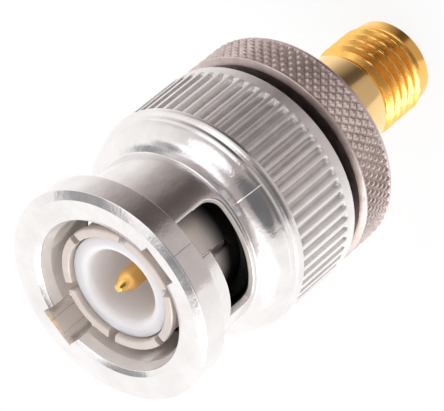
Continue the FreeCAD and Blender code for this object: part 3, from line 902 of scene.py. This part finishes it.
def knurl_rule(tree, given, bearing, depth):
    """Truncated diamonds between two sets of crossing grooves."""
    per_degree = calc(tree, "DIVIDE", given["Diamonds round"], FULL_TURN)
    round_count = calc(tree, "MULTIPLY", bearing, per_degree)
    from_front = calc(tree, "SUBTRACT", depth, given["Front depth"])
    down_count = calc(tree, "DIVIDE", from_front, given["Diamond length"])
    first = calc(tree, "PINGPONG", calc(tree, "ADD", round_count, down_count), 0.5)
    second = calc(tree, "PINGPONG", calc(tree, "SUBTRACT", round_count, down_count), 0.5)
    from_edge = calc(tree, "MINIMUM", first, second)
    rise = calc(tree, "MULTIPLY", from_edge, given["Flank steepness"], clamp=True)
    fall = calc(tree, "MULTIPLY", calc(tree, "SUBTRACT", 1, rise), given["Groove depth"])
    return calc(tree, "SUBTRACT", given["Crest radius"], fall)


knurl_maker = sleeve_tree("diamond knurl", KNURL_SIZES, knurl_rule)
knurl = grown("ring_knurl", knurl_maker, KNURL_SIZES, knurl_nickel)
dress(knurl, knurl_nickel, "body_nickel", "connector", "rear_body")


# Plug contacts and insulator

FERRULE_BORE = 3.6
FERRULE = 4.03
FINGER_TIP = 4.2
FINGER_FRONT = 0.85
FINGER_ROOT = 7.0
FINGER_SIZES = {"Fingers": 6, "First bearing": 30.0}
GASKET_FRONT = 7.6
INSULATOR = 3.5
INSULATOR_BORE = 2.45
INSULATOR_FRONT = 1.15
BORE_FLOOR = 7.2
PIN = 0.675
PIN_COLLAR = 1.05
PIN_STUB = 0.38
PIN_SEAT = 1.07
PIN_TIP = 1.0
PIN_END = 17.0


def inset(outline, step):
    """The outline drawn in by a step, for the broken edge at an end face."""
    area = sum(a.x * b.y - b.x * a.y for a, b in zip(outline, outline[1:] + outline[:1]))
    sign = 1 if area > 0 else -1
    points = []
    for index, here in enumerate(outline):
        following = outline[(index + 1) % len(outline)]
        run = (following - here).normalized() + (here - outline[index - 1]).normalized()
        points.append(here + Vector((-run.y, run.x)).normalized() * step * sign)
    return points


def make_finger():
    """One contact finger, between two gaps whose walls are flat and parallel to the axis."""
    outline = rounded([
        (FERRULE_BORE, FINGER_ROOT + 0.02),
        (FERRULE, FINGER_ROOT + 0.02),
        (FERRULE, 1.75, 0.6),
        (FINGER_TIP, 1.25, 0.3),
        (FINGER_TIP, FINGER_FRONT, 0.12),
        (FERRULE_BORE, FINGER_FRONT, 0.12),
    ])
    edge = 0.04
    half_gap = 0.25
    half_pitch = FULL_TURN / FINGER_SIZES["Fingers"] / 2
    narrow = inset(outline, edge)
    columns = [(narrow, -1, half_gap), (outline, -1, half_gap + edge)]
    inner_shares = (-0.75, -0.5, -0.25, 0.0, 0.25, 0.5, 0.75)
    columns += [(outline, share, half_gap + edge) for share in inner_shares]
    columns += [(outline, 1, half_gap + edge), (narrow, 1, half_gap)]
    vertices = []
    for profile, share, gap in columns:
        for point in profile:
            reach = half_pitch - math.degrees(math.asin(gap / point.x))
            vertices.append(at(point.x, share * reach, point.y))
    rows = len(outline)
    last = (len(columns) - 1) * rows
    faces = [tuple(range(rows)), tuple(range(last, last + rows))]
    return tidy_mesh(make_object("finger", vertices, faces + wall_faces(len(columns), rows)))


def finger_tree(finger):
    """Tree that sets copies of one finger evenly round the axis."""
    tree, given, made = new_tree("contact fingers", FINGER_SIZES)
    row = tree.nodes.new("GeometryNodePoints")
    tree.links.new(given["Fingers"], row.inputs["Count"])
    source = tree.nodes.new("GeometryNodeObjectInfo")
    source.inputs["Object"].default_value = finger
    index = tree.nodes.new("GeometryNodeInputIndex").outputs[0]
    pitch = calc(tree, "DIVIDE", -FULL_TURN, given["Fingers"])
    bearing = calc(tree, "SUBTRACT", calc(tree, "MULTIPLY", index, pitch), given["First bearing"])
    turn = tree.nodes.new("ShaderNodeCombineXYZ")
    tree.links.new(calc(tree, "MULTIPLY", bearing, math.radians(1)), turn.inputs["Z"])
    copies, _, finish = chain(
        tree, row.outputs[0], "GeometryNodeInstanceOnPoints", "GeometryNodeRealizeInstances",
        "GeometryNodeSetMaterial")
    tree.links.new(source.outputs["Geometry"], copies.inputs["Instance"])
    tree.links.new(turn.outputs[0], copies.inputs["Rotation"])
    tree.links.new(given["Material"], finish.inputs["Material"])
    tree.links.new(finish.outputs[0], made[0])
    return tree


finger = make_finger()
fingers = grown("contact_fingers", finger_tree(finger), FINGER_SIZES, contact_nickel)
bpy.data.objects.remove(finger)
dress(fingers, contact_nickel, "contact_nickel", "connector", "outer_contact")

ferrule_base = turned("ferrule_base", rounded([
    (FERRULE_BORE, FINGER_ROOT, 0.03),
    (FERRULE, FINGER_ROOT, 0.03),
    (FERRULE, FERRULE_REAR),
    (FERRULE_BORE, FERRULE_REAR),
]), even_bearings(96))
dress(ferrule_base, contact_nickel, "contact_nickel", "connector", "outer_contact")

gasket = turned("gasket", rounded([
    (FERRULE_SEAT, BODY_FRONT, 0.04),
    (SHANK, BODY_FRONT, 0.04),
    (SHANK, GASKET_FRONT, 0.16),
    (FERRULE_SEAT, GASKET_FRONT, 0.16),
]), even_bearings(96))
dress(gasket, rubber, "gasket_rubber", "connector", "interface_gasket")

insulator = turned("plug_insulator", rounded([
    (PIN_SEAT, INSULATOR_REAR),
    (INSULATOR, INSULATOR_REAR, 0.1),
    (INSULATOR, INSULATOR_FRONT, 0.12),
    (INSULATOR_BORE, INSULATOR_FRONT, 0.45),
    (INSULATOR_BORE, BORE_FLOOR, 0.15),
    (PIN_SEAT, BORE_FLOOR),
]), even_bearings(144))
dress(insulator, fluoropolymer, "white_insulator", "connector", "bnc_insulator")

pin = turned("plug_pin", rounded([
    (0.0, PIN_END),
    (PIN_STUB, PIN_END, 0.04),
    (PIN_STUB, INSULATOR_REAR),
    (PIN_COLLAR, INSULATOR_REAR, 0.04),
    (PIN_COLLAR, BORE_FLOOR, 0.06),
    (PIN, BORE_FLOOR),
    (PIN, 1.9, 0.35),
    (0.25, PIN_TIP, 0.07),
    (0.0, PIN_TIP),
]), even_bearings(72))
dress(pin, gold, "gold_plate", "connector", "bnc_pin")


# Threaded jack

JACK_NECK = 3.15
JACK_NECK_REAR = 24.2
JACK_FACE = 27.3
JACK_MOUTH = 2.3
RELIEF = 2.75
THREAD_CORE = 2.72
THREAD_REAR = 28.3

jack = turned("jack_shell", rounded([
    (JACK_MOUTH, RIM, 0.06),
    (2.8, RIM, 0.04),
    (2.96, 29.04, 0.06),
    (3.02, THREAD_REAR, 0.06),
    (THREAD_CORE, 28.26),
    (THREAD_CORE, 24.8),
    (RELIEF, 24.74, 0.04),
    (RELIEF, JACK_NECK_REAR, 0.16),
    (JACK_NECK, JACK_NECK_REAR, 0.1),
    (JACK_NECK, JACK_FLANGE_REAR),
    (SPIGOT, JACK_FLANGE_REAR),
    (SPIGOT, SPIGOT_REAR),
    (JACK_BORE, SPIGOT_REAR),
    (JACK_BORE, JACK_FACE),
    (JACK_MOUTH, JACK_FACE),
]), even_bearings(144))
dress(jack, gold, "gold_plate", "connector", "sma_body")

THREAD_SIZES = {
    "Columns": 144,
    "Rows": 116,
    "End crowding": 0.0,
    "Front depth": 24.7,
    "Rear depth": THREAD_REAR,
    "Inner radius": 2.6,
    "Lead radius": 2.76,
    "Lead slope": 1.3,
    "Pitch": 0.7056,
    "Groove bearing": 50.0,
    "Groove depth below rim": 25.25,
    "Crest radius": 3.17,
    "Thread depth": 0.42,
    "Half flat": 0.07,
    "Flank": 0.36,
    "Runout": 0.3,
    "Runout narrowing": 0.15,
}


def thread_rule(tree, given, bearing, depth):
    """Right-handed V thread with narrow flats, between a bevelled start and a runout to the land.

    Half flat and flank are shares of the pitch.
    """
    lead = calc(tree, "DIVIDE", calc(tree, "SUBTRACT", bearing, given["Groove bearing"]), FULL_TURN)
    from_groove = calc(tree, "SUBTRACT", depth, given["Groove depth below rim"])
    turns = calc(tree, "SUBTRACT", calc(tree, "DIVIDE", from_groove, given["Pitch"]), lead)
    slope = calc(tree, "PINGPONG", turns, 0.5)
    from_flat = calc(tree, "SUBTRACT", slope, given["Half flat"])
    rise = calc(tree, "DIVIDE", from_flat, given["Flank"], clamp=True)
    groove = calc(tree, "MULTIPLY", calc(tree, "SUBTRACT", 1, rise), given["Thread depth"])
    from_rear = calc(tree, "SUBTRACT", given["Rear depth"], depth)
    ending = smooth_step(tree, from_rear, 0.0, given["Runout"])
    kept = calc(tree, "MULTIPLY", groove, ending)
    narrowing = calc(tree, "MULTIPLY", calc(tree, "SUBTRACT", 1, ending), given["Runout narrowing"])
    full = calc(tree, "SUBTRACT", calc(tree, "SUBTRACT", given["Crest radius"], kept), narrowing)
    from_front = calc(tree, "SUBTRACT", depth, given["Front depth"])
    bevel = calc(tree, "MULTIPLY_ADD", from_front, given["Lead slope"], given["Lead radius"])
    return calc(tree, "MINIMUM", full, bevel)


thread_maker = sleeve_tree("jack thread", THREAD_SIZES, thread_rule)
thread = grown("jack_thread", thread_maker, THREAD_SIZES, gold)
dress(thread, gold, "gold_plate", "connector", "sma_body")


# Pieces whose CAD shape stays: springs, washers and the jack's inner parts

for node_name, material, slot_name in (
    ("thrust_washer", steel, "spring_steel"),
    ("snap_ring", steel, "spring_steel"),
    ("rear_wave_washer", steel, "spring_steel"),
    ("front_wave_washer", steel, "spring_steel"),
    ("sma_insulator", fluoropolymer, "white_insulator"),
    ("sma_socket", gold, "gold_plate"),
):
    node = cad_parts[node_name]
    node.data.materials.clear()
    node.data.materials.append(material)

for node_name in ("rear_wave_washer", "front_wave_washer"):
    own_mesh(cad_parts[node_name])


# Setting: floor, light and camera

CARD_LIGHT = 1.2


def grey(level):
    """Card grey, warmer the darker it is."""
    warmth = 1 - level
    return (level, level * (1 - 0.19 * warmth), level * (1 - 0.23 * warmth))


def make_floor():
    """White floor that keeps the shadow. Metal sees it with grey cards that lie round the object.

    A card is (place, level). Its place is its share of a turn, from 0 on the side of -X by way of
    the camera's side. Close to the object the cards crowd towards the camera's side, and far off
    other cards take over.
    """
    half = 3.0
    camera_side = 0.25
    crowding = 0.8
    crowded = (0.003, 0.012)
    far_off = (0.06, 0.12)
    bleach = 0.88
    corners = [(-half, -half, 0), (half, -half, 0), (half, half, 0), (-half, half, 0)]
    floor = make_object("floor", corners, [(0, 1, 2, 3)])
    material, tree, shader = paint("floor_white")
    shader.inputs["Base Color"].default_value = (0.92, 0.92, 0.92, 1)
    shader.inputs["Roughness"].default_value = 1.0
    shader.inputs["Specular IOR Level"].default_value = 0.0
    radial = tree.nodes.new("ShaderNodeTexGradient")
    radial.gradient_type = "RADIAL"
    tree.links.new(object_place(tree), radial.inputs["Vector"])
    _, _, _, away = place_parts(tree)
    near = calc(tree, "SUBTRACT", 1, smooth_step(tree, away, *crowded))
    spread = calc(tree, "MULTIPLY_ADD", near, crowding, 1.0)
    from_camera = calc(tree, "SUBTRACT", radial.outputs["Fac"], camera_side)
    turn = calc(tree, "MULTIPLY_ADD", from_camera, spread, camera_side, clamp=True)
    near_levels = [
        (0.000, 0.96), (0.083, 0.90), (0.113, 0.84), (0.124, 0.53), (0.250, 0.49), (0.280, 0.42),
        (0.297, 0.15), (0.328, 0.10), (0.360, 0.11), (0.389, 0.22), (0.444, 0.42), (0.480, 0.62),
        (0.550, 0.90), (0.660, 0.95), (1.000, 0.97),
    ]
    far_levels = [
        (0.000, 0.96), (0.083, 0.90), (0.120, 0.50), (0.145, 0.17), (0.280, 0.17), (0.300, 1.00),
        (0.410, 1.00), (0.440, 0.50), (0.480, 0.64), (0.550, 0.92), (1.000, 0.97),
    ]
    near_cards = ramp(tree, turn, [(place, grey(level)) for place, level in near_levels])
    far_cards = ramp(tree, turn, [(place, grey(level)) for place, level in far_levels])
    cards = mixed(tree, "MIX", smooth_step(tree, away, *far_off), near_cards, far_cards)
    seen = tree.nodes.new("ShaderNodeEmission")
    tree.links.new(cards, seen.inputs["Color"])
    seen.inputs["Strength"].default_value = CARD_LIGHT
    white = tree.nodes.new("ShaderNodeEmission")
    path = tree.nodes.new("ShaderNodeLightPath")
    bleached = tree.nodes.new("ShaderNodeMixShader")
    camera_bleach = calc(tree, "MULTIPLY", path.outputs["Is Camera Ray"], bleach)
    tree.links.new(camera_bleach, bleached.inputs[0])
    tree.links.new(shader.outputs[0], bleached.inputs[1])
    tree.links.new(white.outputs[0], bleached.inputs[2])
    mirrored = tree.nodes.new("ShaderNodeMixShader")
    tree.links.new(path.outputs["Is Glossy Ray"], mirrored.inputs[0])
    tree.links.new(bleached.outputs[0], mirrored.inputs[1])
    tree.links.new(seen.outputs[0], mirrored.inputs[2])
    tree.links.new(mirrored.outputs[0], tree.nodes["Material Output"].inputs["Surface"])
    floor.data.materials.append(material)


def add_lamp(name, place, aim, size, power):
    """Soft box, unseen by the camera."""
    lamp = bpy.data.lights.new(name, "AREA")
    lamp.shape = "RECTANGLE"
    lamp.size, lamp.size_y = size
    lamp.energy = power
    holder = bpy.data.objects.new(name, lamp)
    holder.location = place
    holder.rotation_euler = (Vector(aim) - Vector(place)).to_track_quat("-Z", "Y").to_euler()
    holder.visible_camera = False
    bpy.context.scene.collection.objects.link(holder)


def patched(tree, under, direction, azimuth, height, reach, level):
    """The colour under, with a cool grey patch in a direction.

    Azimuth, height and reach are in degrees. The reach is where it begins to fade, and its end.
    """
    lean = math.radians(height)
    turn = math.radians(azimuth)
    nearness = tree.nodes.new("ShaderNodeVectorMath")
    nearness.operation = "DOT_PRODUCT"
    tree.links.new(direction, nearness.inputs[0])
    nearness.inputs[1].default_value = (
        math.cos(lean) * math.cos(turn), math.cos(lean) * math.sin(turn), math.sin(lean))
    outer, inner = (math.cos(math.radians(angle)) for angle in (reach[1], reach[0]))
    mask = smooth_step(tree, nearness.outputs["Value"], outer, inner)
    return mixed(tree, "MIX", mask, under, (level, level * 0.98, level * 1.02, 1))


def set_world():
    """Light tent: bright all round, dimmer on the camera's side, with bright and dark patches."""
    world = bpy.data.worlds.new("studio")
    world.use_nodes = True
    tree = world.node_tree
    back = tree.nodes["Background"]
    radial = tree.nodes.new("ShaderNodeTexGradient")
    radial.gradient_type = "RADIAL"
    direction = tree.nodes.new("ShaderNodeTexCoord").outputs["Generated"]
    tree.links.new(direction, radial.inputs["Vector"])
    levels = [
        (0.00, 0.98), (0.08, 0.92), (0.13, 0.48), (0.22, 0.38), (0.36, 0.42), (0.42, 0.72),
        (0.56, 0.95), (1.00, 0.98),
    ]
    tent = ramp(tree, radial.outputs["Fac"], [(place, grey(level)) for place, level in levels])
    for azimuth, height, reach, level in (
        (-15, 62, (19, 23), 1.15),
        (-50, 30, (18, 24), 1.15),
        (53, 52, (10, 15), 0.30),
        (15, 52, (7, 12), 0.30),
        (112, 73, (6, 13), 0.22),
        (-112, 28, (22, 32), 0.15),
    ):
        tent = patched(tree, tent, direction, azimuth, height, reach, level)
    tree.links.new(tent, back.inputs["Color"])
    back.inputs["Strength"].default_value = CARD_LIGHT
    bpy.context.scene.world = world


def add_camera():
    """Camera where the photograph was taken from."""
    view = bpy.data.cameras.new("camera")
    view.sensor_width = 36.0
    view.lens = 324.3
    view.clip_start, view.clip_end = 0.01, 20.0
    forward = Vector((0.0, 0.7831, -0.6219)).normalized()
    right = Vector((-0.6409, -0.4774, -0.6011)).normalized()
    up = right.cross(forward)
    camera = bpy.data.objects.new("camera", view)
    place = Vector((-0.16, -190.64, 169.5)) * MM
    aim = Matrix((right, up, -forward)).transposed().to_4x4()
    camera.matrix_world = Matrix.Translation(place) @ aim
    bpy.context.scene.collection.objects.link(camera)
    bpy.context.scene.camera = camera


make_floor()
add_lamp("key", (-0.35, 0.1, 0.4), (0, 0, 0.015), (0.3, 0.3), 1.0)
set_world()
add_camera()
bpy.context.scene.view_settings.view_transform = "Standard"
